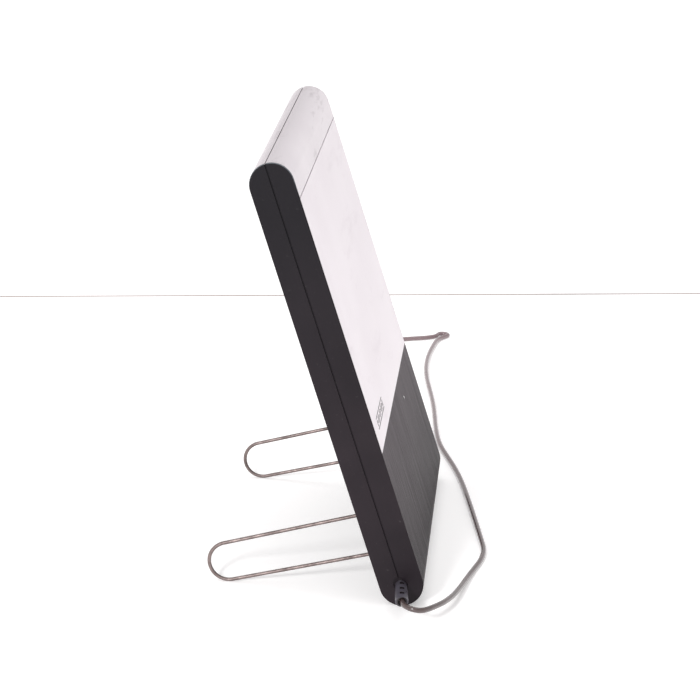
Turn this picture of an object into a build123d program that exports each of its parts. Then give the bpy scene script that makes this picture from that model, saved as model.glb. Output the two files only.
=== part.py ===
"""Amplified flat-panel indoor television antenna on two swing-out wire legs.

Units are millimetres. +Z is up, +X runs along the panel's width and the front
faces -Y. The origin is on the surface that the antenna stands on, at the middle
of its footprint. The panel leans back, so most of it is drawn in a tilted
frame, PANEL: x along the width, v up the panel from the axis of its round
bottom edge, and w out of the front face.
"""
import math
import os

from build123d import *

os.makedirs("parts", exist_ok=True)

# ---------------------------------------------------------------- driving sizes
WIDTH = 242.0                      # panel, end to end
HEIGHT = 292.0                     # panel, measured along its own slope
THICK = 27.5                       # panel, front to back
LEAN = 19.4                        # degrees that the panel leans back
ROUND = THICK / 2                  # radius of the round top and bottom edges
V_TOP = HEIGHT - THICK             # axis of the round top edge
SPLIT = -0.55                      # w of the joint between the two shells

SKIN = 0.8                         # silver and textured outer skins
SKIN_GAP = 0.7                     # dark line between two skins
CAVITY = 11.0                      # radius of the hollow's round ends
END_WALL = 2.2
END_LIP = 1.0                      # lips of the shells that cover the skins' end edges
END_ROUND = 0.6                    # rounding round the end faces
GROOVE = 1.1                       # shadow groove along the shells' joint, on the ends
V_CAP = V_TOP + ROUND - 26.4       # lower edge of the top caps
V_FASCIA = 99.0 - ROUND            # upper edge of the dark lower fascia

WIRE = 2.3                         # leg wire
LEG_X = 98.2                       # leg hinges, either side of the middle
LEG_LOOP = 24.8                    # across the loop's outer end, centre lines
LEG_REACH = 104.4                  # w of the loop's end radius centre, rearward
LEG_END_RADIUS = 12.2
LEG_SLOPE_LOW = 0.080              # rise of the lower wire per mm, hinge to tip
LEG_SLOPE_HIGH = 0.0585            # rise of the upper wire
LEG_BEND = 3.0                     # bend between a wire and its hinge stub
LEG_STUB = 9.0                     # stub from the bend's corner to its end
RIGHT_DEPTH = 1.75                 # hinge axis below the rear face, right leg
LEFT_DEPTH = 4.45                  # the left leg folds in beneath the right one
BAY_CLEAR = 1.5                    # hinge axis to the floor of its bay
BAY_WALL = 2.0
HINGE_CLEAR = 0.07                 # radial clearance of a stub in its socket

SCREW_SHANK = 2.9
SCREW_HEAD = 5.8
BOSS = 9.0
HEAD_DEPTH = 5.0                   # screw heads below the rear face
CASE_SCREWS = [(-108, 18), (108, 18), (0, 6), (-108, 132), (108, 132),
               (-108, 246), (108, 246), (0, 246)]

CORD = 3.5                         # thin coaxial lead
BOOT_LENGTH = 26.6                 # outside the end face
BOOT_SINK = 1.2                    # its root stands in a shallow round recess
BOOT_BORE = 4.5                    # that recess, a little above the boot's axis
BOOT_OFFSET = 0.3                  # the open end's bore stands forward of its middle
BOOT_RECESS = 3.0                  # the lead leaves from inside the boot's open end
COIL_OUT = 24.3                    # centre-line radius of the outermost turn
COIL_IN = 12.8
LAYER = 3.55
TIE = 0.7                          # thickness of the tie under the coil
PLUG_Z = 6.5                       # height of the plug's axis

SIN = math.sin(math.radians(LEAN))
COS = math.cos(math.radians(LEAN))

# The lower end arc of a leg rests on the floor, which sets how high it sits.
LEG_TIP_V = (LEG_END_RADIUS + WIRE / 2 - ROUND + LEG_REACH * SIN) / COS
LEG_LOW_TIP = LEG_TIP_V - LEG_END_RADIUS
LEG_HIGH_TIP = LEG_LOW_TIP + LEG_LOOP
LEG_HIGH_ARC = LEG_HIGH_TIP - LEG_END_RADIUS
LEG_CORNER_W = -LEG_REACH - LEG_END_RADIUS
LEG_LOW_CORNER = LEG_TIP_V - LEG_END_RADIUS * (math.hypot(1, LEG_SLOPE_LOW) - LEG_SLOPE_LOW)
LEG_HIGH_CORNER = LEG_HIGH_ARC + LEG_END_RADIUS * (
    math.hypot(1, LEG_SLOPE_HIGH) + LEG_SLOPE_HIGH)
REAR_REACH = LEG_HIGH_ARC * SIN + LEG_REACH * COS + LEG_END_RADIUS + WIRE / 2
FOOT_Y = -(REAR_REACH - ROUND) / 2

PANEL = Plane(origin=(0, FOOT_Y, ROUND), x_dir=(1, 0, 0), z_dir=(0, -COS, SIN))


def at(x, v, w):
    """World point of panel coordinates."""
    return PANEL.from_local_coords(Vector(x, v, w))


def section(x):
    """Plane across the panel at x. Its own axes are w and v, and it faces -X."""
    return Plane(origin=at(x, 0, 0), x_dir=PANEL.z_dir, z_dir=(-1, 0, 0))


def stadium(radius, mode=Mode.ADD):
    """The panel's long round-ended section, in the sketch of a section plane."""
    with Locations((0, V_TOP / 2)):
        SlotCenterToCenter(V_TOP, 2 * radius, rotation=90, mode=mode)


def window(w_low, w_high, v_low, v_high, mode=Mode.INTERSECT):
    """Keeps or cuts a rectangle of a section sketch."""
    with Locations(((w_low + w_high) / 2, (v_low + v_high) / 2)):
        Rectangle(w_high - w_low, v_high - v_low, mode=mode)


def end_outline(piece):
    """Outer edges of both end faces, leaving out those on the shells' joint."""
    ends = piece.faces().sort_by(Axis.X)
    return [edge for face in (ends[0], ends[-1]) for edge in face.edges()
            if abs(PANEL.to_local_coords(edge @ 0.5).Z - SPLIT) > 0.01]


def save(piece, name):
    """Labels a finished piece and writes its STEP file."""
    piece.part.label = name
    export_step(piece.part, f"parts/{name}.step")


FAR = 400.0                        # reaches past the panel in a section window
END_X = WIDTH / 2
SKIN_X = END_X - END_LIP
CAVITY_X = END_X - END_WALL
REAR_FACE = -ROUND
RIGHT_HINGE = REAR_FACE + RIGHT_DEPTH
LEFT_HINGE = REAR_FACE + LEFT_DEPTH
LEG_LOW = LEG_LOW_CORNER - LEG_SLOPE_LOW * (RIGHT_HINGE - LEG_CORNER_W)
LEG_HIGH = LEG_HIGH_CORNER - LEG_SLOPE_HIGH * (RIGHT_HINGE - LEG_CORNER_W)
CORD_V = 0.0                       # the lead leaves on the bottom edge's axis

LEAD_W = SPLIT
CLAMP_X = -108.0                   # inner clamp of the lead
LOOP_WIRE = 1.6                    # inner wire loop, for the lower band
LOOP_W = -4.0
LOOP_X = 100.0
LOOP_LOW = 100.0
LOOP_HIGH = 228.0
WIRE_PILLARS = [(-LOOP_X, 170), (LOOP_X, 170), (-55, LOOP_HIGH), (55, LOOP_HIGH)]
SHEET = 0.5                        # stamped element, for the upper band
SHEET_W = 6.0
SHEET_HOLES = [(-84, 166), (84, 166), (-44, 102), (62, 102), (0, 232)]
BOARD_W = 2.0
BOARD = 1.6
BOARD_X = 38.7
BOARD_V = 74.0
BOARD_SIZE = (64.0, 36.0)
BOARD_HOLES = [(BOARD_X - 28, BOARD_V - 14), (BOARD_X + 28, BOARD_V - 14),
               (BOARD_X - 28, BOARD_V + 14), (BOARD_X + 28, BOARD_V + 14)]
LAMP = (38.7, 70.6)                # indicator lamp

# ------------------------------------------------------------------- leg bay
BAY_X = LEG_X + WIRE / 2 + 0.35
BAY_LOW_END = LEG_LOW - LEG_BEND - 0.4
BAY_HIGH_END = LEG_HIGH + LEG_BEND + 0.4
BAY_LOW_MID = LEG_LOW_TIP - WIRE / 2 - 0.9
BAY_HIGH_MID = LEG_HIGH_TIP + WIRE / 2 + 0.9
LEFT_BAY_END = LEG_REACH + LEFT_HINGE - LEG_X + LEG_END_RADIUS + 2.6


def bay_outline(mode=Mode.ADD):
    """Shallow gull-wing outline of the recess that the folded legs lie in."""
    Polygon(
        (-BAY_X, BAY_LOW_END), (0, BAY_LOW_MID), (BAY_X, BAY_LOW_END),
        (BAY_X, BAY_HIGH_END), (0, BAY_HIGH_MID), (-BAY_X, BAY_HIGH_END),
        align=None, mode=mode,
    )


# ----------------------------------------------------------------- rear shell
with BuildPart() as rear_shell:
    with BuildSketch(section(END_X)):
        stadium(ROUND)
        window(-ROUND, SPLIT, -FAR, FAR)
    extrude(amount=2 * END_X)
    fillet(end_outline(rear_shell), radius=END_ROUND)
    # Between its end lips the top is set in by one skin, for the silver cap.
    with BuildSketch(section(SKIN_X)):
        stadium(ROUND + 1)
        stadium(ROUND - SKIN, mode=Mode.SUBTRACT)
        window(-ROUND - 2, 1, V_CAP, FAR)
    extrude(amount=2 * SKIN_X, mode=Mode.SUBTRACT)
    with BuildSketch(section(CAVITY_X)):
        stadium(CAVITY)
        window(-ROUND, 1, -FAR, FAR)
    extrude(amount=2 * CAVITY_X, mode=Mode.SUBTRACT)
    # Pan of the leg bay, then the bay itself in two depths and a finger scoop.
    pan_floor = LEFT_HINGE + BAY_CLEAR + BAY_WALL
    with BuildSketch(PANEL.offset(REAR_FACE)):
        bay_outline()
        offset(amount=BAY_WALL, kind=Kind.INTERSECTION)
    extrude(amount=pan_floor - REAR_FACE)
    with BuildSketch(PANEL.offset(REAR_FACE)):
        with Locations((1.3, LEG_TIP_V)):
            RectangleRounded(38, 23, 6)
    extrude(amount=pan_floor + 2.4 - REAR_FACE)
    # Hinge blocks thicken the bay's ends, above and below, around the sockets.
    with BuildSketch(PANEL.offset(REAR_FACE + 1)):
        with Locations((-LEG_X, BAY_LOW_END - 4), (LEG_X, BAY_LOW_END - 4),
                       (-LEG_X, BAY_HIGH_END + 4), (LEG_X, BAY_HIGH_END + 4)):
            Rectangle(7, 9)
    extrude(amount=pan_floor - REAR_FACE - 1)
    with BuildSketch(PANEL.offset(REAR_FACE)):
        bay_outline()
    extrude(amount=RIGHT_DEPTH + BAY_CLEAR, mode=Mode.SUBTRACT)
    with BuildSketch(PANEL.offset(REAR_FACE)):
        bay_outline()
        with Locations(((LEFT_BAY_END - BAY_X) / 2, LEG_TIP_V)):
            Rectangle(LEFT_BAY_END + BAY_X, 80, mode=Mode.INTERSECT)
    extrude(amount=LEFT_DEPTH + BAY_CLEAR, mode=Mode.SUBTRACT)
    with BuildSketch(PANEL.offset(REAR_FACE)):
        with Locations((1.3, LEG_TIP_V)):
            RectangleRounded(34, 19, 4)
    extrude(amount=LEFT_DEPTH + BAY_CLEAR + 2.4, mode=Mode.SUBTRACT)
    # Blind sockets for the legs' stubs, along the hinge axes.
    for hinge_x, hinge_w in ((-LEG_X, LEFT_HINGE), (LEG_X, RIGHT_HINGE)):
        socket_low = LEG_LOW - LEG_STUB - 0.4
        socket_high = LEG_HIGH + LEG_STUB + 0.4
        with BuildSketch(Plane(origin=at(hinge_x, socket_low, hinge_w), x_dir=(1, 0, 0),
                               z_dir=PANEL.y_dir)):
            Circle(WIRE / 2 + HINGE_CLEAR)
        extrude(amount=socket_high - socket_low, mode=Mode.SUBTRACT)
    # Screw bosses, open at the rear for the screw heads.
    with BuildSketch(PANEL.offset(REAR_FACE + 1)):
        with Locations(*CASE_SCREWS):
            Circle(BOSS / 2)
    extrude(amount=SPLIT - REAR_FACE - 1)
    with BuildSketch(PANEL.offset(REAR_FACE)):
        with Locations(*CASE_SCREWS):
            Circle(SCREW_SHANK / 2 + 0.15)
    extrude(amount=THICK, mode=Mode.SUBTRACT)
    with BuildSketch(PANEL.offset(REAR_FACE)):
        with Locations(*CASE_SCREWS):
            Circle(SCREW_HEAD / 2 + 0.3)
    extrude(amount=HEAD_DEPTH, mode=Mode.SUBTRACT)
    # Half of the lead's hole through the left end.
    for bore, rise, deep in ((3.1, 0, END_WALL + 1), (BOOT_BORE, 0.9, BOOT_SINK)):
        hole_at = at(-END_X - 1, CORD_V, SPLIT) + Vector(0, 0, rise)
        with BuildSketch(Plane(origin=hole_at, z_dir=(1, 0, 0))):
            Circle(bore)
        extrude(amount=deep + 1, mode=Mode.SUBTRACT)
    # Block that the lead is clamped down on, just inside the left end.
    with BuildSketch(section(CLAMP_X + 3)):
        stadium(CAVITY + 1)
        window(-ROUND, LEAD_W + CORD / 2, -10, 10)
    extrude(amount=6)
    with BuildSketch(section(CLAMP_X + 4)):
        window(LEAD_W - CORD / 2, ROUND, -CORD / 2 - 0.05, CORD / 2 + 0.05, mode=Mode.ADD)
    extrude(amount=8, mode=Mode.SUBTRACT)
    with BuildSketch(PANEL.offset(LEAD_W + CORD / 2)):
        with Locations((CLAMP_X, -6), (CLAMP_X, 6)):
            Circle(1.15)
    extrude(amount=-6, mode=Mode.SUBTRACT)
    # Forked pillars that the inner wire loop lies in.
    with BuildSketch(PANEL.offset(-CAVITY - 1)):
        with Locations(*WIRE_PILLARS):
            Circle(2.6)
    extrude(amount=LOOP_W + CAVITY + 1)
    with BuildSketch(PANEL.offset(LOOP_W - LOOP_WIRE / 2)):
        with Locations(*WIRE_PILLARS[:2]):
            Rectangle(LOOP_WIRE + 0.04, 8)
        with Locations(*WIRE_PILLARS[2:]):
            Rectangle(8, LOOP_WIRE + 0.04)
    extrude(amount=LOOP_WIRE, mode=Mode.SUBTRACT)

save(rear_shell, "rear_shell")

# ---------------------------------------------------------------- front shell
with BuildPart() as front_shell:
    with BuildSketch(section(END_X)):
        stadium(ROUND)
        window(SPLIT, ROUND, -FAR, FAR)
    extrude(amount=2 * END_X)
    fillet(end_outline(front_shell), radius=END_ROUND)
    # Set in by one skin between the end lips.
    with BuildSketch(section(SKIN_X)):
        stadium(ROUND + 1)
        stadium(ROUND - SKIN, mode=Mode.SUBTRACT)
        window(SPLIT - 1, ROUND + 2, -FAR, FAR)
    extrude(amount=2 * SKIN_X, mode=Mode.SUBTRACT)
    # Shadow groove beside the joint, on both ends.
    for groove_x in (END_X + 1, -END_X + GROOVE):
        with BuildSketch(section(groove_x)):
            stadium(ROUND + 1)
            window(SPLIT, SPLIT + GROOVE, -FAR, FAR)
        extrude(amount=GROOVE + 1, mode=Mode.SUBTRACT)
    with BuildSketch(section(CAVITY_X)):
        stadium(CAVITY)
        window(SPLIT - 1, ROUND, -FAR, FAR)
    extrude(amount=2 * CAVITY_X, mode=Mode.SUBTRACT)
    # Pillars for the case screws, the stamped element and the circuit board.
    with BuildSketch(PANEL.offset(SPLIT)):
        with Locations(*CASE_SCREWS):
            Circle(BOSS / 2)
    extrude(amount=CAVITY + 0.5 - SPLIT)
    with BuildSketch(PANEL.offset(SHEET_W + SHEET)):
        with Locations(*SHEET_HOLES):
            Circle(3)
    extrude(amount=CAVITY + 0.5 - SHEET_W - SHEET)
    with BuildSketch(PANEL.offset(BOARD_W + BOARD)):
        with Locations(*BOARD_HOLES):
            Circle(2.8)
    extrude(amount=CAVITY + 0.5 - BOARD_W - BOARD)
    with BuildSketch(PANEL.offset(SPLIT)):
        with Locations(*CASE_SCREWS):
            Circle(SCREW_SHANK / 2 + 0.05)
    extrude(amount=9, mode=Mode.SUBTRACT)
    with BuildSketch(PANEL.offset(BOARD_W)):
        with Locations(*SHEET_HOLES, *BOARD_HOLES):
            Circle(1.15)
    extrude(amount=8.4, mode=Mode.SUBTRACT)
    with BuildSketch(PANEL.offset(CAVITY - 1)):
        with Locations(LAMP):
            Circle(1.6)
    extrude(amount=4, mode=Mode.SUBTRACT)
    for bore, rise, deep in ((3.1, 0, END_WALL + 1), (BOOT_BORE, 0.9, BOOT_SINK)):
        hole_at = at(-END_X - 1, CORD_V, SPLIT) + Vector(0, 0, rise)
        with BuildSketch(Plane(origin=hole_at, z_dir=(1, 0, 0))):
            Circle(bore)
        extrude(amount=deep + 1, mode=Mode.SUBTRACT)

save(front_shell, "front_shell")


def skin_section(w_low, w_high, v_low, v_high):
    """Section of one outer skin, kept between the given limits."""
    stadium(ROUND)
    stadium(ROUND - SKIN, mode=Mode.SUBTRACT)
    window(w_low, w_high, v_low, v_high)


# ---------------------------------------------------------------- outer skins
with BuildPart() as front_plate:
    with BuildSketch(section(SKIN_X)):
        skin_section(0, ROUND, V_FASCIA, V_CAP)
    extrude(amount=2 * SKIN_X)
save(front_plate, "front_plate")

with BuildPart() as lower_fascia:
    with BuildSketch(section(SKIN_X)):
        skin_section(SPLIT, ROUND, -FAR, V_FASCIA)
    extrude(amount=2 * SKIN_X)
    with BuildSketch(PANEL.offset(ROUND - 2)):
        with Locations(LAMP):
            Circle(1.25)
    extrude(amount=4, mode=Mode.SUBTRACT)
save(lower_fascia, "lower_fascia")

with BuildPart() as top_cap_front:
    with BuildSketch(section(SKIN_X)):
        skin_section(SKIN_GAP / 2, ROUND, V_CAP + SKIN_GAP, FAR)
    extrude(amount=2 * SKIN_X)
save(top_cap_front, "top_cap_front")

with BuildPart() as top_cap_rear:
    with BuildSketch(section(SKIN_X)):
        skin_section(-ROUND, -SKIN_GAP / 2, V_CAP, FAR)
    extrude(amount=2 * SKIN_X)
save(top_cap_rear, "top_cap_rear")

# Small raised emblem like a tuning scale, short bars between two rules.
MARK_SIZE = (45.6, 7.2)
MARK_BARS = 12
MARK_PITCH = 3.8
with BuildPart() as front_mark:
    with BuildSketch(PANEL.offset(ROUND)):
        with Locations((-79.7, 98.95)):
            with GridLocations(0, MARK_SIZE[1] - 0.6, 1, 2):
                Rectangle(MARK_SIZE[0], 0.6)
            for index in range(MARK_BARS):
                place = index - (MARK_BARS - 1) / 2
                reach = 2.0 + 2.6 * math.cos(math.pi * place / 3) ** 2
                with Locations((MARK_PITCH * place, 0)):
                    RectangleRounded(1.0, reach, 0.3)
    extrude(amount=0.12)
save(front_mark, "front_mark")

# Clear lamp window, flush with the fascia.
with BuildPart() as lamp_window:
    with BuildSketch(PANEL.offset(CAVITY + 0.2)):
        with Locations(LAMP):
            Circle(1.55)
    extrude(amount=ROUND - SKIN - CAVITY - 0.2)
    with BuildSketch(PANEL.offset(ROUND - SKIN)):
        with Locations(LAMP):
            Circle(1.2)
    extrude(amount=SKIN)
save(lamp_window, "lamp_window")

# ------------------------------------------------------------------ case screws
with BuildPart() as case_screws:
    with BuildSketch(PANEL.offset(REAR_FACE + HEAD_DEPTH)):
        with Locations(*CASE_SCREWS):
            Circle(SCREW_HEAD / 2)
    extrude(amount=-2)
    with BuildSketch(PANEL.offset(REAR_FACE + HEAD_DEPTH)):
        with Locations(*CASE_SCREWS):
            Circle(SCREW_SHANK / 2)
    extrude(amount=16)
    with BuildSketch(PANEL.offset(REAR_FACE + HEAD_DEPTH - 2)):
        with Locations(*CASE_SCREWS):
            Rectangle(3.2, 0.8)
            Rectangle(0.8, 3.2)
    extrude(amount=1.1, mode=Mode.SUBTRACT)
save(case_screws, "case_screws")


# ------------------------------------------------------------------------ legs
def leg_points(hinge_w):
    """Corners of a leg's wire in the axes of a section plane, (w, v)."""
    low = LEG_LOW_CORNER - LEG_SLOPE_LOW * (hinge_w - LEG_CORNER_W)
    high = LEG_HIGH_CORNER - LEG_SLOPE_HIGH * (hinge_w - LEG_CORNER_W)
    return [
        (hinge_w, low - LEG_STUB), (hinge_w, low),
        (LEG_CORNER_W, LEG_LOW_CORNER), (LEG_CORNER_W, LEG_HIGH_CORNER),
        (hinge_w, high), (hinge_w, high + LEG_STUB),
    ]


LEG_RADII = [LEG_BEND, LEG_END_RADIUS, LEG_END_RADIUS, LEG_BEND]

with BuildPart() as left_leg:
    with BuildLine(section(-LEG_X)):
        left_wire = FilletPolyline(*leg_points(LEFT_HINGE), radius=LEG_RADII)
    with BuildSketch(Plane(origin=left_wire @ 0, z_dir=left_wire % 0)):
        Circle(WIRE / 2)
    sweep()
save(left_leg, "left_leg")

with BuildPart() as right_leg:
    with BuildLine(section(LEG_X)):
        right_wire = FilletPolyline(*leg_points(RIGHT_HINGE), radius=LEG_RADII)
    with BuildSketch(Plane(origin=right_wire @ 0, z_dir=right_wire % 0)):
        Circle(WIRE / 2)
    sweep()
save(right_leg, "right_leg")

# -------------------------------------------------------------------- elements
with BuildPart() as wire_loop:
    with BuildLine(PANEL):
        loop_path = FilletPolyline(
            (30, 82, BOARD_W), (30, 82, LOOP_W), (30, LOOP_LOW, LOOP_W),
            (-LOOP_X, LOOP_LOW, LOOP_W), (-LOOP_X, LOOP_HIGH, LOOP_W),
            (LOOP_X, LOOP_HIGH, LOOP_W), (LOOP_X, LOOP_LOW, LOOP_W),
            (48, LOOP_LOW, LOOP_W), (48, 82, LOOP_W), (48, 82, BOARD_W),
            radius=2.5,
        )
    with BuildSketch(Plane(origin=loop_path @ 0, z_dir=loop_path % 0)):
        Circle(LOOP_WIRE / 2)
    sweep()
save(wire_loop, "wire_loop")

with BuildPart() as sheet_element:
    with BuildSketch(PANEL.offset(SHEET_W)):
        with Locations((0, 167)):
            RectangleRounded(180, 140, 10)
        with Locations((0, 168)):
            RectangleRounded(156, 118, 6, mode=Mode.SUBTRACT)
        with Locations((BOARD_X, 102)):
            Rectangle(5, 16, mode=Mode.SUBTRACT)
        with Locations((BOARD_X - 6, 94), (BOARD_X + 6, 94)):
            Rectangle(5, 12)
        with Locations(*SHEET_HOLES):
            Circle(1.2, mode=Mode.SUBTRACT)
    extrude(amount=SHEET)
    # Two tabs bent back to the circuit board.
    with BuildSketch(PANEL.offset(BOARD_W + BOARD)):
        with Locations((BOARD_X - 6, 88.25), (BOARD_X + 6, 88.25)):
            Rectangle(5, 0.5)
    extrude(amount=SHEET_W + SHEET - BOARD_W - BOARD)
save(sheet_element, "sheet_element")

with BuildPart() as element_screws:
    with BuildSketch(PANEL.offset(SHEET_W - 1.4)):
        with Locations(*SHEET_HOLES):
            Circle(2.2)
    extrude(amount=1.4)
    with BuildSketch(PANEL.offset(SHEET_W)):
        with Locations(*SHEET_HOLES):
            Circle(1.1)
    extrude(amount=4)
save(element_screws, "element_screws")

# --------------------------------------------------------------- circuit board
with BuildPart() as circuit_board:
    with BuildSketch(PANEL.offset(BOARD_W)):
        with Locations((BOARD_X, BOARD_V)):
            RectangleRounded(*BOARD_SIZE, 1.5)
        with Locations(*BOARD_HOLES):
            Circle(1.25, mode=Mode.SUBTRACT)
    extrude(amount=BOARD)
save(circuit_board, "circuit_board")

with BuildPart() as board_screws:
    with BuildSketch(PANEL.offset(BOARD_W - 1.4)):
        with Locations(*BOARD_HOLES):
            Circle(2.2)
    extrude(amount=1.4)
    with BuildSketch(PANEL.offset(BOARD_W)):
        with Locations(*BOARD_HOLES):
            Circle(1.1)
    extrude(amount=6)
save(board_screws, "board_screws")

with BuildPart() as shield_can:
    with BuildSketch(PANEL.offset(BOARD_W)):
        with Locations((BOARD_X + 8, BOARD_V - 6)):
            RectangleRounded(24, 16, 1)
    extrude(amount=-5)
save(shield_can, "shield_can")

# Balun cores and filter coils stand on the board's front.
with BuildPart() as balun_cores:
    with BuildSketch(PANEL.offset(BOARD_W + BOARD)):
        with Locations((BOARD_X - 14, BOARD_V + 4), (BOARD_X + 14, BOARD_V + 4)):
            RectangleRounded(8, 6, 1)
            with GridLocations(3.6, 1, 2, 1):
                Circle(0.8, mode=Mode.SUBTRACT)
    extrude(amount=4)
save(balun_cores, "balun_cores")

with BuildPart() as board_capacitors:
    with BuildSketch(PANEL.offset(BOARD_W + BOARD)):
        with Locations((BOARD_X - 14, BOARD_V - 8), (BOARD_X + 18, BOARD_V - 8)):
            Circle(2.2)
    extrude(amount=5)
save(board_capacitors, "board_capacitors")

with BuildPart() as lamp:
    with BuildSketch(PANEL.offset(BOARD_W + BOARD)):
        with Locations(LAMP):
            Circle(1.9)
    extrude(amount=1)
    with BuildSketch(PANEL.offset(BOARD_W + BOARD)):
        with Locations(LAMP):
            Circle(1.5)
    extrude(amount=CAVITY + 0.2 - BOARD_W - BOARD)
save(lamp, "lamp")

with BuildPart() as lead_socket:
    with BuildSketch(PANEL.offset(BOARD_W)):
        with Locations((17, 68)):
            Rectangle(6, 7)
    extrude(amount=-4)
save(lead_socket, "lead_socket")

# ------------------------------------------------------- strain relief and lead
BOOT_FACE = at(-END_X, CORD_V, SPLIT)
BOOT_ROOT = BOOT_FACE + Vector(BOOT_SINK, 0, 0)
BOOT_HEEL = BOOT_ROOT + Vector(0, -0.3, 0)
BOOT_END = BOOT_FACE + Vector(-BOOT_LENGTH, -2.35, 0)
BOOT_MID = BOOT_FACE + Vector(-BOOT_LENGTH / 2, -1.4, 0)
BOOT_AIM = Vector(-1, -0.12, 0).normalized()
BORE_END = BOOT_END + Vector(0, -BOOT_OFFSET, 0)
SLOT_STEPS = (3.0, 11.4, 19.4)

with BuildPart() as cord_boot:
    with BuildSketch(Plane(origin=BOOT_HEEL, x_dir=(0, 1, 0), z_dir=(-1, 0, 0))):
        Ellipse(3.5, 2.9)
    with BuildSketch(Plane(origin=BOOT_MID, x_dir=(0, 1, 0), z_dir=(-1, -0.08, 0))):
        Ellipse(3.95, 3.2)
    with BuildSketch(Plane(origin=BOOT_END, x_dir=(0, 1, 0), z_dir=BOOT_AIM)):
        Ellipse(4.1, 3.2)
    loft()
    # Flexing slots across the top, and the open end.
    for step in SLOT_STEPS:
        with BuildSketch(Plane.XZ.offset(-BOOT_FACE.Y + 0.05 * step + 2.4)):
            with Locations((BOOT_FACE.X - step, BOOT_FACE.Z + 2.8)):
                Rectangle(3.0, 4.4)
        extrude(amount=-2.9, mode=Mode.SUBTRACT)
    with BuildSketch(Plane(origin=BORE_END, z_dir=BOOT_AIM)):
        Circle(2.6)
    extrude(amount=-BOOT_RECESS, mode=Mode.SUBTRACT)
    # Neck through the end wall and a collar that keeps it in.
    with BuildSketch(Plane(origin=BOOT_ROOT, z_dir=(1, 0, 0))):
        Circle(3)
    extrude(amount=END_WALL - BOOT_SINK + 0.1)
    with BuildSketch(Plane(origin=at(-CAVITY_X + 0.1, CORD_V, SPLIT), z_dir=(1, 0, 0))):
        Circle(5)
    extrude(amount=1.8)
save(cord_boot, "cord_boot")

LEAD_START = -CAVITY_X + 1.9
with BuildPart() as inner_lead:
    with BuildLine(PANEL):
        lead_path = FilletPolyline(
            (LEAD_START, 0, LEAD_W), (-88, 0, LEAD_W), (-66, 14, 0.3), (-40, 50, 0.3),
            (-20, 68, 0.0), (14, 68, 0.0),
            radius=[12, 14, 22, 12],
        )
    with BuildSketch(Plane(origin=lead_path @ 0, z_dir=lead_path % 0)):
        Circle(CORD / 2)
    sweep()
save(inner_lead, "inner_lead")

with BuildPart() as lead_clamp:
    with BuildSketch(PANEL.offset(LEAD_W + CORD / 2)):
        with Locations((CLAMP_X, 0)):
            RectangleRounded(5.6, 17, 1)
        with Locations((CLAMP_X, -6), (CLAMP_X, 6)):
            Circle(1.2, mode=Mode.SUBTRACT)
    extrude(amount=1.4)
save(lead_clamp, "lead_clamp")

with BuildPart() as clamp_screws:
    with BuildSketch(PANEL.offset(LEAD_W + CORD / 2 + 1.4)):
        with Locations((CLAMP_X, -6), (CLAMP_X, 6)):
            Circle(2)
    extrude(amount=1.4)
    with BuildSketch(PANEL.offset(LEAD_W + CORD / 2 + 1.4)):
        with Locations((CLAMP_X, -6), (CLAMP_X, 6)):
            Circle(1.1)
    extrude(amount=-6.5)
save(clamp_screws, "clamp_screws")

# ------------------------------------------------------------------ outside lead
COIL_X = 198.0
COIL_Y = FOOT_Y + 36.0
COIL_SKIN = 0.08                   # the coil's closed solid stands this much outside its turns
COIL_Z = TIE + COIL_SKIN + CORD / 2
COIL_STUB = 14.0                   # straight end of the coil on either side


def lay(x, y, z=CORD / 2):
    """A route point, with y taken from the panel's line of contact."""
    return (x, FOOT_Y + y, z)


CORD_ROUTE = [
    tuple(BORE_END - BOOT_AIM * BOOT_RECESS), tuple(BORE_END + BOOT_AIM * 1.4),
    lay(-154.2, -4.1, 13.6), lay(-157.4, -9.0, 13.1), lay(-156.4, -13.9, 12.2),
    lay(-151.4, -17.9, 11.3), lay(-143.6, -21.9, 10.2), lay(-132, -27.0, 8.5),
    lay(-117, -31.5, 6.5), lay(-101, -35.0, 4.8), lay(-84, -38.0, 3.3), lay(-68, -41.0, 2.4),
    lay(-53, -44.4, 1.9), lay(-38, -47.9), lay(-21, -49.4), lay(-2, -46.9), lay(18, -44.0),
    lay(46, -40.0), lay(78, -35.2), lay(108, -30.4), lay(136, -24.6), lay(162, -17.8),
    lay(185, -11.6), lay(209, -7.9), lay(238, -5.3), lay(266, -3.3), lay(293, -0.8),
    lay(320, 2.7), lay(348, 6.3), lay(374, 8.4), lay(400, 8.8), lay(425, 7.3),
    lay(446, 5.0), lay(459, 2.9), lay(467.5, -1.5), lay(473.5, -5.6), lay(477.1, -4.2),
    lay(478.4, -0.6), lay(476.6, 2.8), lay(469.8, 4.2), lay(464.8, 9.6), lay(461.0, 17.4),
    lay(457.6, 26.0), lay(452.5, 36.5), lay(444, 46.5), lay(430, 54.5), lay(410, 60.0),
    lay(382, 63.2), lay(350, 64.4), lay(316, 63.8), lay(282, 62.2, 1.9),
    lay(247, 60.3, COIL_Z), lay(COIL_X + COIL_STUB, 60.3, COIL_Z),
]


def turn_at(before, corner, after):
    """Angle in degrees that a route turns through at a corner."""
    first = Vector(*corner) - Vector(*before)
    second = Vector(*after) - Vector(*corner)
    return first.get_angle(second)


def bend_radii(route):
    """Bend radius at every corner, from the shorter run and half the turn."""
    radii = []
    for before, corner, after in zip(route, route[1:], route[2:]):
        shorter = min((Vector(*corner) - Vector(*before)).length,
                      (Vector(*after) - Vector(*corner)).length)
        half = math.radians(turn_at(before, corner, after) / 2)
        radii.append(0.45 * shorter / math.tan(half))
    return radii


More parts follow.
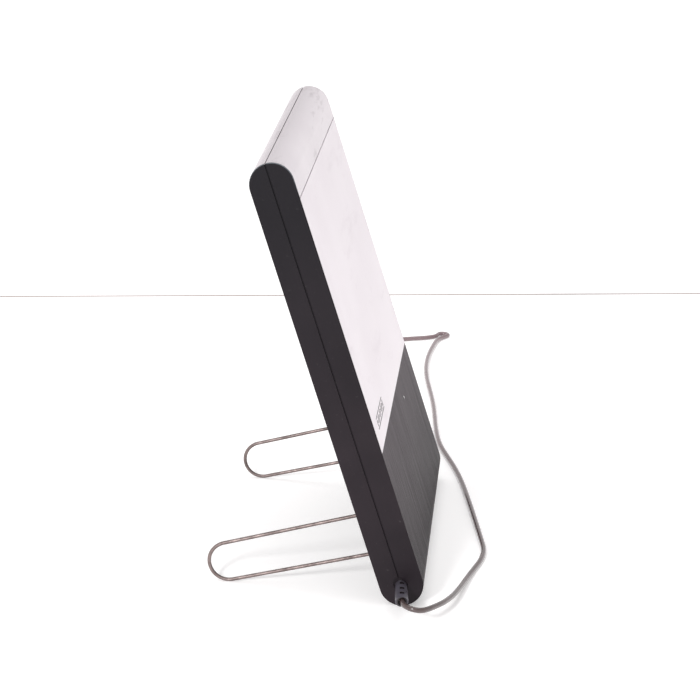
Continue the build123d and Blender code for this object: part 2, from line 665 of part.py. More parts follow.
CORD_RADII = bend_radii(CORD_ROUTE)
with BuildPart() as coax_cord:
    with BuildLine():
        cord_path = FilletPolyline(*CORD_ROUTE, radius=CORD_RADII)
    with BuildSketch(Plane(origin=cord_path @ 0, z_dir=cord_path % 0)):
        Circle(CORD / 2)
    sweep()
save(coax_cord, "coax_cord")
print("cord radii", [round(radius, 1) for radius in CORD_RADII])
print("cord turns", [round(turn_at(*three)) for three in
                     zip(CORD_ROUTE, CORD_ROUTE[1:], CORD_ROUTE[2:])])
print("cord length", round(cord_path.length, 1), "volume over section",
      round(coax_cord.part.volume / (math.pi * CORD ** 2 / 4), 1))

COIL_HEIGHT = LAYER + CORD + 2 * COIL_SKIN
COIL_WIDE = COIL_OUT - COIL_IN + CORD + 0.5

# The wound part of the lead, as the closed outer shape of its turns.
with BuildPart() as cord_coil:
    with BuildSketch(Plane(origin=(COIL_X, COIL_Y, TIE))):
        Circle(COIL_OUT + CORD / 2 + COIL_SKIN)
        Circle(COIL_IN - CORD / 2, mode=Mode.SUBTRACT)
    extrude(amount=COIL_HEIGHT)
    with BuildSketch(Plane(origin=(COIL_X, COIL_Y + COIL_OUT, COIL_Z), z_dir=(1, 0, 0))):
        Circle(CORD / 2)
    extrude(amount=COIL_STUB)
    with BuildSketch(Plane(origin=(COIL_X, COIL_Y - COIL_OUT, COIL_Z + LAYER),
                           z_dir=(1, 0, 0))):
        Circle(CORD / 2)
    extrude(amount=COIL_STUB)
save(cord_coil, "cord_coil")

with BuildPart() as coil_tie:
    with BuildSketch(Plane(origin=(COIL_X, COIL_Y, 0), x_dir=(-1, 0, 0), z_dir=(0, 1, 0))):
        with Locations(((COIL_IN + COIL_OUT) / 2, TIE + COIL_HEIGHT / 2)):
            RectangleRounded(COIL_WIDE + 2 * TIE, COIL_HEIGHT + 2 * TIE, 0.6)
            Rectangle(COIL_WIDE, COIL_HEIGHT, mode=Mode.SUBTRACT)
    extrude(amount=1.6, both=True)
save(coil_tie, "coil_tie")

# ------------------------------------------------------------------ connector
PLUG_AIM = 24.0                    # heading of the plug beside the coil
TAIL_ROUTE = [
    (COIL_X + COIL_STUB, COIL_Y - COIL_OUT, COIL_Z + LAYER),
    (COIL_X + COIL_STUB + 9, COIL_Y - COIL_OUT, COIL_Z + LAYER),
    (COIL_X + COIL_STUB + 18, COIL_Y - COIL_OUT + 1.6, PLUG_Z - 0.3),
    (COIL_X + COIL_STUB + 27, COIL_Y - COIL_OUT + 5.2, PLUG_Z),
    (COIL_X + COIL_STUB + 27 + 9 * math.cos(math.radians(PLUG_AIM)),
     COIL_Y - COIL_OUT + 5.2 + 9 * math.sin(math.radians(PLUG_AIM)), PLUG_Z),
]
TAIL_RADII = bend_radii(TAIL_ROUTE)
with BuildPart() as cord_tail:
    with BuildLine():
        tail_path = FilletPolyline(*TAIL_ROUTE, radius=TAIL_RADII)
    with BuildSketch(Plane(origin=tail_path @ 0, z_dir=tail_path % 0)):
        Circle(CORD / 2)
    sweep()
save(cord_tail, "cord_tail")
print("tail radii", [round(radius, 1) for radius in TAIL_RADII])

PLUG = Plane(origin=tail_path @ 1, x_dir=(0, 0, 1), z_dir=tail_path % 1)
NUT_FLATS = 11.0
NECK = 3.4
SLEEVE = 3.5
with BuildPart() as plug_body:
    with BuildSketch(PLUG):
        Circle(SLEEVE)
    extrude(amount=8.5)
    with BuildSketch(PLUG.offset(8.5)):
        Circle(4.6)
    extrude(amount=2)
    with BuildSketch(PLUG.offset(10.5)):
        Circle(NECK)
    extrude(amount=2)
    with BuildSketch(PLUG.offset(12.5)):
        Circle(4.3)
    extrude(amount=1)
    with BuildSketch(PLUG.offset(13.5)):
        Circle(2.4)
    extrude(amount=1.5)
save(plug_body, "plug_body")

with BuildPart() as plug_nut:
    with BuildSketch(PLUG.offset(10.6)):
        RegularPolygon(NUT_FLATS / 2, 6, major_radius=False)
        Circle(NECK + 0.06, mode=Mode.SUBTRACT)
    extrude(amount=1.7)
    with BuildSketch(PLUG.offset(12.3)):
        RegularPolygon(NUT_FLATS / 2, 6, major_radius=False)
        Circle(4.7, mode=Mode.SUBTRACT)
    extrude(amount=8)
save(plug_nut, "plug_nut")

with BuildPart() as plug_pin:
    with BuildSketch(PLUG.offset(15)):
        Circle(0.5)
    extrude(amount=6.5)
save(plug_pin, "plug_pin")

print("foot y", round(FOOT_Y, 3), "u", (0, round(SIN, 5), round(COS, 5)))
print("left hinge", tuple(at(-LEG_X, (LEG_LOW + LEG_HIGH) / 2, LEFT_HINGE)))
print("right hinge", tuple(at(LEG_X, (LEG_LOW + LEG_HIGH) / 2, RIGHT_HINGE)))
print("plug axis", tuple(PLUG.origin), tuple(PLUG.z_dir))
print("mount", tuple(at(0, 150, REAR_FACE)))
print("leg v", LEG_LOW, LEG_HIGH, "boot end", tuple(BOOT_END))
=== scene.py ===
"""Looks of an amplified flat-panel indoor antenna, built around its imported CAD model.

The frame is the CAD model's: +Z up, +X along the panel's width, the front facing -Y,
the origin on the floor under the footprint's middle. Blender's lengths are in metres;
the lead's route and its sizes are in millimetres, as in the CAD model.
"""
import math

import bmesh
import bpy
from mathutils import Matrix, Vector


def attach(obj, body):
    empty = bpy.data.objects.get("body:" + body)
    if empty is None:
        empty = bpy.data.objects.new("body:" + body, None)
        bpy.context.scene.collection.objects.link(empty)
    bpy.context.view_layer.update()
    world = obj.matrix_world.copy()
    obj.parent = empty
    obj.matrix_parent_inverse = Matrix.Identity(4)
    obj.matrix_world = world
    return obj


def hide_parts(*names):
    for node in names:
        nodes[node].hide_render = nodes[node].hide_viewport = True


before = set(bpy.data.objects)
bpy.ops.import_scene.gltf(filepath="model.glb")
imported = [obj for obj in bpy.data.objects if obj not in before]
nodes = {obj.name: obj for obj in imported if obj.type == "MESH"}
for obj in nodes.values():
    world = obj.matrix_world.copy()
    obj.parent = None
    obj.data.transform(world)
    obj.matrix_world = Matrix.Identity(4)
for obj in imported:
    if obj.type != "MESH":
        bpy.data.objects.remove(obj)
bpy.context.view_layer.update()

MM = 0.001                         # one millimetre in metres
LEAN = math.radians(19.4)          # the panel leans back by this
FOOT_Y = -55.138                   # the panel's line of contact with the floor, in mm

# --------------------------------------------------------------------- camera
CAMERA_PLACE = (-1.61515, -0.116188, 0.61637)
CAMERA_AIM = (0.95519246, 0.0630031, -0.28920229)
CAMERA_UP = (0.28581049, 0.05765546, 0.95655016)
LENS = 133.14                      # focal length in mm on a sensor 36 mm wide
SENSOR = 36.0

camera_data = bpy.data.cameras.new("camera")
camera_data.lens = LENS
camera_data.sensor_width = SENSOR
camera_data.clip_start = 0.01
camera_data.clip_end = 100.0
camera = bpy.data.objects.new("camera", camera_data)
bpy.context.scene.collection.objects.link(camera)
aim = Vector(CAMERA_AIM)
right = aim.cross(Vector(CAMERA_UP)).normalized()
upward = right.cross(aim).normalized()
camera.matrix_world = Matrix.Translation(CAMERA_PLACE) @ Matrix((
    (right.x, upward.x, -aim.x),
    (right.y, upward.y, -aim.y),
    (right.z, upward.z, -aim.z),
)).to_4x4()
bpy.context.scene.camera = camera


# ------------------------------------------------------------- material nodes
class Shader:
    """A principled material and short calls for the texture nodes that feed it."""

    def __init__(self, name, colour=(0.5, 0.5, 0.5), rough=0.5, metallic=0.0, **sockets):
        self.material = bpy.data.materials.new(name)
        self.material.use_nodes = True
        self.tree = self.material.node_tree
        self.surface = self.tree.nodes["Principled BSDF"]
        self.set("Base Color", (*colour, 1.0))
        self.set("Roughness", rough)
        self.set("Metallic", metallic)
        for key, value in sockets.items():
            self.set(key.replace("_", " "), value)
        self.place = self.tree.nodes.new("ShaderNodeTexCoord").outputs["Object"]
        self.normal = None

    def set(self, name, value):
        self.surface.inputs[name].default_value = value

    def link(self, output, name):
        self.tree.links.new(output, self.surface.inputs[name])

    def node(self, kind, **values):
        """A new node, its sockets set by name to numbers or to other nodes' outputs."""
        made = self.tree.nodes.new(kind)
        for key, value in values.items():
            socket = made.inputs[key.replace("_", " ")]
            if isinstance(value, bpy.types.NodeSocket):
                self.tree.links.new(value, socket)
            else:
                socket.default_value = value
        return made

    def mapped(self, scale=(1, 1, 1), turn=(0, 0, 0), place=None):
        """A place turned and stretched before a texture reads it."""
        return self.node("ShaderNodeMapping", Vector=place or self.place,
                         Rotation=turn, Scale=scale).outputs["Vector"]

    def noise(self, scale, detail=2.0, rough=0.5, place=None):
        return self.node("ShaderNodeTexNoise", Vector=place or self.place, Scale=scale,
                         Detail=detail, Roughness=rough).outputs["Fac"]

    def spots(self, scale, place):
        return self.node("ShaderNodeTexVoronoi", Vector=place, Scale=scale).outputs["Distance"]

    def spread(self, value, low, high, to_low=0.0, to_high=1.0):
        """value's range low to high, stretched to another range and clamped."""
        made = self.node("ShaderNodeMapRange", Value=value)
        for key, number in (("From Min", low), ("From Max", high),
                            ("To Min", to_low), ("To Max", to_high)):
            made.inputs[key].default_value = number
        return made.outputs["Result"]

    def maths(self, operation, a, b=0.0):
        """One Math node; a and b are numbers or other nodes' outputs."""
        made = self.tree.nodes.new("ShaderNodeMath")
        made.operation = operation
        for socket, value in zip(made.inputs, (a, b)):
            if isinstance(value, bpy.types.NodeSocket):
                self.tree.links.new(value, socket)
            else:
                socket.default_value = value
        return made.outputs["Value"]

    def blend(self, factor, first, second):
        """Colour mix; either colour is a triple or another node's output."""
        made = self.tree.nodes.new("ShaderNodeMix")
        made.data_type = "RGBA"
        for index, value in ((0, factor), (6, first), (7, second)):
            socket = made.inputs[index]
            if isinstance(value, bpy.types.NodeSocket):
                self.tree.links.new(value, socket)
            elif index:
                socket.default_value = (*value, 1.0)
            else:
                socket.default_value = value
        return made.outputs[2]

    def bump(self, height, strength, depth):
        """Adds one layer of relief, depth in metres, over the layers before it."""
        made = self.node("ShaderNodeBump", Height=height, Strength=strength, Distance=depth)
        if self.normal:
            self.tree.links.new(self.normal, made.inputs["Normal"])
        self.normal = made.outputs["Normal"]
        self.link(self.normal, "Normal")

    def axis(self, index, place=None):
        """One coordinate of a place: 0 for x, 1 for y, 2 for z."""
        made = self.node("ShaderNodeSeparateXYZ", Vector=place or self.place)
        return made.outputs[index]

    def facing_ends(self):
        """1 where the surface faces along the panel's width, 0 where it faces across."""
        normal = self.node("ShaderNodeTexCoord").outputs["Normal"]
        return self.maths("ABSOLUTE", self.axis(0, normal))

    def leaning(self):
        """Place turned to the panel: y through its thickness, z up its slope."""
        return self.mapped(turn=(LEAN, 0, 0))


def moulded_black():
    """Satin black case plastic: spark texture, mottling, dust, painted shade toward the top
    and a painted highlight along the ends' upper rounded edges.
    """
    m = Shader("moulded_black", rough=0.46, Specular_IOR_Level=0.17)
    mottle = m.noise(26, 3)
    fine = m.noise(900, 2)
    tone = m.blend(m.spread(mottle, 0.35, 0.65), (0.0120, 0.0082, 0.0112),
                   (0.0175, 0.0122, 0.0158))
    high = m.axis(2)
    # Painted shade: the black is darker toward the top, fading in between 0.10 m and 0.26 m
    # up.
    tone = m.blend(m.spread(high, 0.10, 0.26, 0.0, 0.8), tone, (0.0035, 0.0030, 0.0052))
    # An end's rounded edge, which faces between the two, gets a paler painted highlight near
    # the top.
    facing = m.facing_ends()
    painted_rim_highlight = m.maths("MULTIPLY", m.spread(facing, 0.10, 0.25),
                   m.spread(facing, 0.85, 0.97, 1.0, 0.0))
    painted_rim_highlight = m.maths("MULTIPLY", painted_rim_highlight, m.spread(high, 0.258, 0.272))
    tone = m.blend(painted_rim_highlight, tone, (0.13, 0.145, 0.16))
    dust = m.spread(m.noise(330, 3, 0.7), 0.66, 0.8)
    m.link(m.blend(m.maths("MULTIPLY", dust, 0.35), tone, (0.11, 0.105, 0.10)), "Base Color")
    m.link(m.spread(m.maths("ADD", mottle, m.maths("MULTIPLY", fine, 0.4)),
                    0.5, 0.95, 0.38, 0.52), "Roughness")
    m.bump(m.noise(2600, 2, 0.6), 0.5, 0.00008)
    m.bump(m.noise(60, 1), 0.25, 0.0002)
    return m.material


def silver_paint(name, colour, dark, ridge_shade, marks):
    """Pale satin metallic paint with fine fleck, handling marks and painted shade along the
    top ridge.
    """
    m = Shader(name, rough=0.36, metallic=0.35, Specular_IOR_Level=0.5)
    panel = m.leaning()
    cloud = m.noise(14, 3)
    fleck = m.spread(m.noise(5200, 1), 0.45, 0.62)
    tone = m.blend(m.spread(cloud, 0.3, 0.7, 0.0, 0.5), colour, dark)
    # Painted shade: a greyer band is painted along the ridge, which lies between the front
    # skin and the rear one in the panel's thickness, and fades toward the rear.
    depth = m.axis(1, panel)
    rise = m.spread(depth, -0.069, -0.059)
    fall = m.spread(depth, -0.0545, -0.046, 1.0, 0.15)
    tone = m.blend(m.maths("MULTIPLY", rise, fall), tone, ridge_shade)
    tone = m.blend(m.maths("MULTIPLY", fleck, 0.08), tone, (0.95, 0.93, 0.95))
    smudge = m.spread(m.noise(52, 5, 0.66, m.mapped((0.3, 1, 1.4), place=panel)), 0.58, 0.70)
    tone = m.blend(m.maths("MULTIPLY", smudge, marks), tone, (0.30, 0.27, 0.28))
    m.link(tone, "Base Color")
    m.link(m.spread(m.maths("ADD", cloud, m.maths("MULTIPLY", smudge, 0.5)), 0.3, 1.1,
                    0.32, 0.5), "Roughness")
    m.bump(m.noise(3400, 2), 0.12, 0.00005)
    m.bump(m.noise(45, 1), 0.2, 0.0003)
    return m.material


def brushed_fascia():
    """Dark satin plastic with a fine grain drawn up the panel, and painted shade darkening it
    toward its foot.
    """
    m = Shader("brushed_fascia", rough=0.4, Specular_IOR_Level=0.018)
    panel = m.leaning()
    grain = m.noise(1.0, 3, 0.65, m.mapped((2600, 2600, 42), place=panel))
    streak = m.noise(1.0, 2, 0.55, m.mapped((650, 650, 9), place=panel))
    both = m.maths("ADD", m.maths("MULTIPLY", grain, 0.55), m.maths("MULTIPLY", streak, 0.45))
    tone = m.blend(m.spread(both, 0.36, 0.64), (0.034, 0.023, 0.030), (0.059, 0.042, 0.052))
    # Painted shade: the fascia darkens toward the panel's foot.
    foot_shade = m.spread(m.axis(2, panel), -0.01, 0.075, 0.95, 0.0)
    m.link(m.blend(foot_shade, tone, (0.010, 0.006, 0.008)), "Base Color")
    m.link(m.spread(both, 0.35, 0.65, 0.42, 0.28), "Roughness")
    m.bump(grain, 0.35, 0.00008)
    m.bump(streak, 0.3, 0.0002)
    return m.material


def printed_mark():
    """Dark grey print, worn through in specks."""
    ink = (0.06, 0.055, 0.06)
    m = Shader("printed_mark", ink, 0.5)
    worn = m.spread(m.noise(1500, 3, 0.7), 0.58, 0.75)
    m.link(m.blend(m.maths("MULTIPLY", worn, 0.5), ink, (0.4, 0.38, 0.39)), "Base Color")
    m.bump(m.noise(4000, 2), 0.2, 0.00003)
    return m.material


def drawn_metal(name, colour, dark, rough, stain=0.25, metallic=1.0):
    """Bare or plated metal with fine grain, tarnish and roughness change."""
    m = Shader(name, colour, rough, metallic)
    cloud = m.noise(130, 4, 0.6)
    tarnish = m.spread(m.noise(420, 4, 0.65), 0.55, 0.72, 0.0, stain)
    tone = m.blend(m.spread(cloud, 0.35, 0.65), colour, dark)
    m.link(m.blend(tarnish, tone, tuple(0.35 * c for c in dark)), "Base Color")
    m.link(m.spread(cloud, 0.3, 0.7, max(0.05, rough - 0.08), rough + 0.12), "Roughness")
    m.bump(m.noise(1.0, 2, 0.6, m.mapped((2200, 2200, 2200))), 0.25, 0.00003)
    return m.material


def rubber(name, colour, light, rough, specular, scuff=0.2, coat=0.0, far_light=None):
    """Moulded or extruded dark rubber with bloom, fine grain and scuffs.

    A paler colour, where given, is painted over it toward the lead's far run as painted light,
    leaving the near run darker as painted shade from the dark panel.
    """
    m = Shader(name, colour, rough, Specular_IOR_Level=specular, Coat_Weight=coat,
               Coat_Roughness=0.08)
    bloom = m.noise(90, 3)
    tone = m.blend(m.spread(bloom, 0.38, 0.66), colour, light)
    rub = m.spread(m.noise(700, 4, 0.7), 0.64, 0.78, 0.0, scuff)
    # Painted light: paler toward the lead's far run, the near run kept darker as painted shade
    # from the dark panel.
    if far_light:
        tone = m.blend(m.spread(m.axis(0), -0.10, 0.45), tone, far_light)
    m.link(m.blend(rub, tone, tuple(min(1.0, 2.2 * c) for c in light)), "Base Color")
    m.link(m.spread(bloom, 0.3, 0.7, rough - 0.05, rough + 0.08), "Roughness")
    m.bump(m.noise(2400, 2, 0.6), 0.2, 0.00003)
    return m.material


def boot_finish():
    """Soft bluish rubber, with painted shade in its slots and its open end."""
    slope = 0.0735                 # how far the boot leans forward along its length
    crossing = -0.04615            # y at which its axis would cross x = 0, in metres
    height = 0.01357               # height of its axis, in metres
    m = Shader("boot_rubber", rough=0.3, Specular_IOR_Level=0.5)
    bloom = m.noise(160, 2)
    tone = m.blend(m.spread(bloom, 0.38, 0.66), (0.058, 0.052, 0.066), (0.076, 0.070, 0.088))
    # Painted shade: rubber within a few millimetres of the boot's axis, the floor of its slots
    # and the open end around the bore, is darkened.
    across = m.maths("SUBTRACT", m.axis(1), m.maths("MULTIPLY", m.axis(0), slope))
    across = m.maths("SUBTRACT", across, crossing)
    above = m.maths("SUBTRACT", m.axis(2), height)
    radius = m.maths("SQRT", m.maths("ADD", m.maths("MULTIPLY", across, across),
                                     m.maths("MULTIPLY", above, above)))
    open_end_shade = m.maths("MULTIPLY", m.spread(m.facing_ends(), 0.4, 0.6),
                   m.spread(radius, 0.0030, 0.0035, 1.0, 0.0))
    recess_shade = m.maths("MAXIMUM", m.spread(radius, 0.0021, 0.0027, 1.0, 0.0), open_end_shade)
    m.link(m.blend(recess_shade, tone, (0.012, 0.008, 0.009)), "Base Color")
    m.link(m.spread(bloom, 0.3, 0.7, 0.26, 0.38), "Roughness")
    m.bump(m.noise(2400, 2, 0.6), 0.2, 0.00003)
    return m.material


def board_resist():
    """Green solder resist with traces showing through."""
    m = Shader("board_resist", (0.02, 0.13, 0.05), 0.3)
    trace = m.spread(m.spots(320, m.mapped((1, 0.4, 1))), 0.35, 0.42)
    m.link(m.blend(trace, (0.045, 0.2, 0.08), (0.018, 0.11, 0.045)), "Base Color")
    m.bump(trace, 0.4, 0.00006)
    return m.material


def clear_resin(name, colour, rough, transmission):
    """Clear or tinted moulding with a light haze."""
    m = Shader(name, colour, rough, Transmission_Weight=transmission, IOR=1.49)
    haze = m.noise(800, 3)
    m.link(m.spread(haze, 0.3, 0.7, rough, rough + 0.1), "Roughness")
    m.link(m.blend(m.spread(haze, 0.35, 0.7), colour, tuple(0.85 * c for c in colour)),
           "Base Color")
    m.bump(haze, 0.05, 0.00005)
    return m.material


black = moulded_black()
plate_paint = silver_paint("silver_plate", (0.815, 0.757, 0.795), (0.77, 0.713, 0.75),
                           ridge_shade=(0.60, 0.55, 0.575), marks=0.04)
cap_paint = silver_paint("silver_cap", (0.775, 0.722, 0.755), (0.70, 0.652, 0.684),
                         ridge_shade=(0.54, 0.495, 0.52), marks=0.42)
fascia_paint = brushed_fascia()
leg_metal = drawn_metal("leg_wire", (0.265, 0.212, 0.203), (0.150, 0.118, 0.113),
                        rough=0.44, stain=0.6, metallic=0.8)
zinc = drawn_metal("zinc_steel", (0.62, 0.62, 0.62), (0.48, 0.48, 0.49), rough=0.36)
tinned = drawn_metal("tinned_steel", (0.68, 0.68, 0.66), (0.55, 0.55, 0.53), rough=0.3)
aluminium = drawn_metal("element_wire", (0.78, 0.78, 0.78), (0.66, 0.66, 0.67), rough=0.3)
brass = drawn_metal("element_brass", (0.72, 0.54, 0.26), (0.56, 0.38, 0.16), rough=0.32)
copper = drawn_metal("pin_copper", (0.80, 0.42, 0.25), (0.62, 0.30, 0.17), rough=0.28)
nickel = drawn_metal("plug_nickel", (0.72, 0.70, 0.66), (0.60, 0.58, 0.54), rough=0.2)
jacket = rubber("cord_jacket", (0.056, 0.037, 0.036), (0.094, 0.064, 0.063), rough=0.22,
                specular=0.6, scuff=0.12, coat=0.55, far_light=(0.21, 0.145, 0.155))
boot_rubber = boot_finish()
tie_nylon = rubber("tie_nylon", (0.03, 0.03, 0.03), (0.05, 0.05, 0.05),
                   rough=0.45, specular=0.5)
ferrite = rubber("ferrite", (0.05, 0.05, 0.055), (0.08, 0.08, 0.085),
                 rough=0.6, specular=0.4)
sleeve = rubber("capacitor_sleeve", (0.02, 0.03, 0.08), (0.04, 0.05, 0.12),
                rough=0.3, specular=0.5)
lamp_cover = clear_resin("lamp_window", (0.82, 0.86, 0.84), rough=0.08, transmission=0.85)
lamp_resin = clear_resin("lamp_resin", (0.45, 0.75, 0.45), rough=0.2, transmission=0.4)

FINISH = {
    "rear_shell": black, "front_shell": black,
    "front_plate": plate_paint, "top_cap_front": cap_paint, "top_cap_rear": cap_paint,
    "lower_fascia": fascia_paint, "front_mark": printed_mark(),
    "lamp_window": lamp_cover, "lamp": lamp_resin,
    "case_screws": zinc, "element_screws": zinc, "board_screws": zinc, "clamp_screws": zinc,
    "left_leg": leg_metal, "right_leg": leg_metal,
    "wire_loop": aluminium, "sheet_element": brass, "circuit_board": board_resist(),
    "shield_can": tinned, "balun_cores": ferrite, "board_capacitors": sleeve,
    "lead_socket": tie_nylon, "inner_lead": jacket, "lead_clamp": tie_nylon,
    "cord_boot": boot_rubber, "coil_tie": tie_nylon, "coax_cord": jacket,
    "cord_coil": jacket, "cord_tail": jacket,
    "plug_body": nickel, "plug_nut": nickel, "plug_pin": copper,
}
for name, material in FINISH.items():
    mesh = nodes[name].data
    mesh.materials.clear()
    mesh.materials.append(material)

# ----------------------------------------------------------------------- lead
# Every length here is in millimetres until the curve is made.
CORD = 3.5                         # diameter of the lead's jacket
COIL_X = 198.0                     # the coil's middle
COIL_Y = FOOT_Y + 36.0
TIE = 0.7                          # thickness of the tie under the coil
COIL_SKIN = 0.08                   # the coil's closed solid stands this much outside its turns
COIL_Z = TIE + COIL_SKIN + CORD / 2
COIL_OUT = 24.3                    # centre-line radius of the outermost turn
COIL_IN = 12.8                     # and of the innermost one
COIL_STUB = 14.0                   # straight end of the coil on either side
LAYER = 3.55                       # rise from the lower layer to the upper one
PLUG_Z = 6.5                       # height of the plug's axis
PLUG_AIM = math.radians(24)        # heading of the plug beside the coil
BORE_END = Vector((-147.6, FOOT_Y - 2.1312, 13.567))
BOOT_AIM = Vector((-1, -0.12, 0)).normalized()
BOOT_RECESS = 3.0                  # the lead leaves from inside the boot's open end


def lay(x, y, z=CORD / 2):
    """A route point in mm, with y taken from the panel's line of contact."""
    return (x, FOOT_Y + y, z)


cord_route = [
    tuple(BORE_END - BOOT_AIM * BOOT_RECESS), tuple(BORE_END + BOOT_AIM * 1.4),
    lay(-154.2, -4.1, 13.6), lay(-157.4, -9.0, 13.1), lay(-156.4, -13.9, 12.2),
    lay(-151.4, -17.9, 11.3), lay(-143.6, -21.9, 10.2), lay(-132, -27.0, 8.5),
    lay(-117, -31.5, 6.5), lay(-101, -35.0, 4.8), lay(-84, -38.0, 3.3), lay(-68, -41.0, 2.4),
    lay(-53, -44.4, 1.9), lay(-38, -47.9), lay(-21, -49.4), lay(-2, -46.9), lay(18, -44.0),
    lay(46, -40.0), lay(78, -35.2), lay(108, -30.4), lay(136, -24.6), lay(162, -17.8),
    lay(185, -11.6), lay(209, -7.9), lay(238, -5.3), lay(266, -3.3), lay(293, -0.8),
    lay(320, 2.7), lay(348, 6.3), lay(374, 8.4), lay(400, 8.8), lay(425, 7.3),
    lay(446, 5.0), lay(459, 2.9), lay(467.5, -1.5), lay(473.5, -5.6), lay(477.1, -4.2),
    lay(478.4, -0.6), lay(476.6, 2.8), lay(469.8, 4.2), lay(464.8, 9.6), lay(461.0, 17.4),
    lay(457.6, 26.0), lay(452.5, 36.5), lay(444, 46.5), lay(430, 54.5), lay(410, 60.0),
    lay(382, 63.2), lay(350, 64.4), lay(316, 63.8), lay(282, 62.2, 1.9),
    lay(247, 60.3, COIL_Z), lay(COIL_X + COIL_STUB, 60.3, COIL_Z),
]

# The coil winds in on the lower layer, steps up, and winds out on the upper one.
TURNS = 6.5
STEPS = 16                         # control points per turn
RISE_LEAD = 0.25                   # the step up begins this part of a turn before the middle
RISE_RUN = 0.4                     # and takes this part of a turn
PER_TURN = (COIL_OUT - COIL_IN) / (TURNS / 2)
for step in range(int(TURNS * STEPS) + 1):
    turn = step / STEPS
    inward = COIL_OUT - PER_TURN * turn
    outward = COIL_OUT - PER_TURN * (TURNS - turn)
    # Control points stand outside the curve that they shape.
    radius = max(inward, outward) / math.cos(math.pi / STEPS)
    lift = min(1.0, max(0.0, (turn - TURNS / 2 + RISE_LEAD) / RISE_RUN))
    angle = math.pi / 2 + 2 * math.pi * turn
    cord_route.append((COIL_X + radius * math.cos(angle), COIL_Y + radius * math.sin(angle),
                       COIL_Z + LAYER * lift))

# The tail leaves the upper layer and turns into the plug.
TAIL_X = COIL_X + COIL_STUB
TAIL_Y = COIL_Y - COIL_OUT
TAIL_STEP = 9.0
cord_route += [
    (TAIL_X, TAIL_Y, COIL_Z + LAYER), (TAIL_X + TAIL_STEP, TAIL_Y, COIL_Z + LAYER),
    (TAIL_X + 2 * TAIL_STEP, TAIL_Y + 1.6, PLUG_Z - 0.3),
    (TAIL_X + 3 * TAIL_STEP, TAIL_Y + 5.2, PLUG_Z),
    (TAIL_X + 3 * TAIL_STEP + TAIL_STEP * math.cos(PLUG_AIM),
     TAIL_Y + 5.2 + TAIL_STEP * math.sin(PLUG_AIM), PLUG_Z),
]

line = bpy.data.curves.new("antenna_lead", "CURVE")
line.dimensions = "3D"
spline = line.splines.new("NURBS")
spline.points.add(len(cord_route) - 1)
for point, place in zip(spline.points, cord_route):
    point.co = (*(MM * value for value in place), 1.0)
spline.order_u = 3
spline.use_endpoint_u = True
spline.resolution_u = 8
line.bevel_depth = CORD / 2 * MM
line.bevel_resolution = 5
line.use_fill_caps = True
line.materials.append(jacket)
lead = bpy.data.objects.new("antenna_lead", line)
bpy.context.scene.collection.objects.link(lead)
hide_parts("coax_cord", "cord_coil", "cord_tail")
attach(lead, "case")

# ---------------------------------------------------------------------- stage
FLOOR_REACH = 14.0                 # from the object to each edge of the floor
SEAM_X = 0.594                     # faint joint across the floor, behind the lead's fold
SEAM_SLANT = -0.228                # its run in x for each metre in y
SEAM_GAP = 0.0028                  # its width
SEAM_DEEP = 0.0012


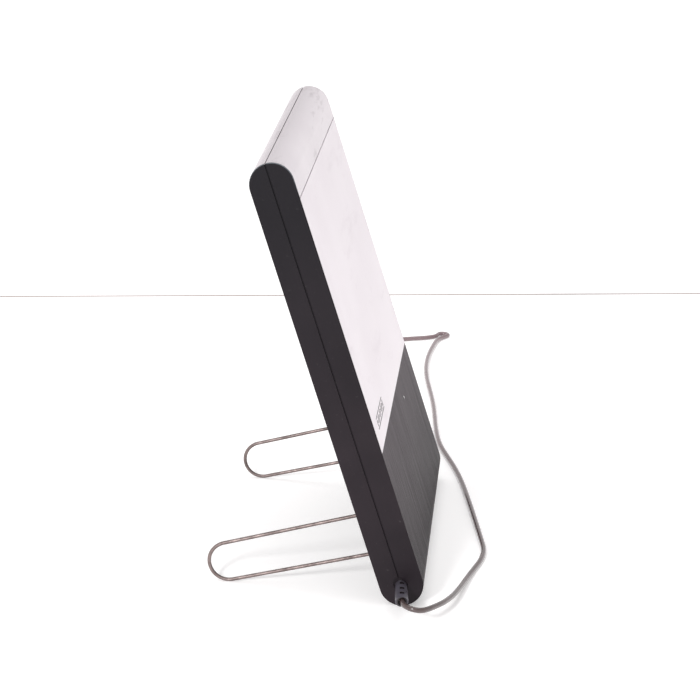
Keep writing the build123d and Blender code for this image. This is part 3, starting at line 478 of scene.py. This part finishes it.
def backdrop():
    """Pale floor with a shallow joint across it beyond the object."""
    pale = (0.86, 0.855, 0.85)
    m = Shader("backdrop", pale, 0.75, Specular_IOR_Level=0.2,
               Emission_Color=(1.0, 0.99, 0.995, 1.0), Emission_Strength=0.30)
    joint = Shader("backdrop_joint", (0.42, 0.33, 0.31), 0.8)
    joint.bump(joint.noise(300, 2), 0.2, 0.0003)
    cloud = m.noise(2.2, 3)
    m.link(m.blend(m.spread(cloud, 0.35, 0.65), pale, (0.875, 0.872, 0.868)), "Base Color")
    m.bump(m.noise(60, 2), 0.05, 0.0005)
    made = bmesh.new()

    # The floor's profile along x, as strips between neighbouring points of it.
    profile = [(-FLOOR_REACH, 0), (SEAM_X, 0), (SEAM_X, -SEAM_DEEP),
               (SEAM_X + SEAM_GAP, -SEAM_DEEP), (SEAM_X + SEAM_GAP, 0), (FLOOR_REACH, 0)]
    for (x_low, z_low), (x_high, z_high) in zip(profile, profile[1:]):
        corners = []
        for x, y, z in ((x_low, -FLOOR_REACH, z_low), (x_high, -FLOOR_REACH, z_high),
                        (x_high, FLOOR_REACH, z_high), (x_low, FLOOR_REACH, z_low)):
            run = 0.0 if abs(x) == FLOOR_REACH else SEAM_SLANT * y
            corners.append(made.verts.new((x + run, y, z)))
        made.faces.new(corners).material_index = int(z_high != 0 or z_low != 0)
    data = bpy.data.meshes.new("floor")
    made.to_mesh(data)
    made.free()
    data.materials.append(m.material)
    data.materials.append(joint.material)
    floor = bpy.data.objects.new("floor", data)
    bpy.context.scene.collection.objects.link(floor)


backdrop()

# --------------------------------------------------------------------- lights
# A bright even surround, a little dimmer overhead.
world = bpy.data.worlds.new("studio")
bpy.context.scene.world = world
world.use_nodes = True
sky = world.node_tree
sky.nodes["Background"].inputs["Color"].default_value = (1.0, 0.985, 0.99, 1.0)
direction = sky.nodes.new("ShaderNodeSeparateXYZ")
sky.links.new(sky.nodes.new("ShaderNodeTexCoord").outputs["Generated"],
              direction.inputs["Vector"])
ceiling = sky.nodes.new("ShaderNodeMapRange")
for key, number in (("From Min", 0.05), ("From Max", 0.5),
                    ("To Min", 1.06), ("To Max", 0.62)):
    ceiling.inputs[key].default_value = number
sky.links.new(direction.outputs["Z"], ceiling.inputs["Value"])
sky.links.new(ceiling.outputs["Result"], sky.nodes["Background"].inputs["Strength"])


def softbox(name, place, target, size, power):
    """White rectangular area light aimed at a target, its power in watts."""
    data = bpy.data.lights.new(name, "AREA")
    data.shape = "RECTANGLE"
    data.size, data.size_y = size
    data.energy = power
    light = bpy.data.objects.new(name, data)
    light.location = place
    toward = Vector(target) - Vector(place)
    light.rotation_mode = "QUATERNION"
    light.rotation_quaternion = toward.to_track_quat("-Z", "Y")
    bpy.context.scene.collection.objects.link(light)


softbox("key", place=(-2.3, 0.75, 1.15), target=(0.05, -0.02, 0.05), size=(0.32, 0.32),
        power=44)
softbox("top", place=(0.9, 0.0, 2.6), target=(0.6, 0.0, 0.0), size=(3.0, 3.0), power=30)

bpy.context.scene.view_settings.view_transform = "Standard"
bpy.context.scene.view_settings.look = "None"

bpy.context.view_layer.update()
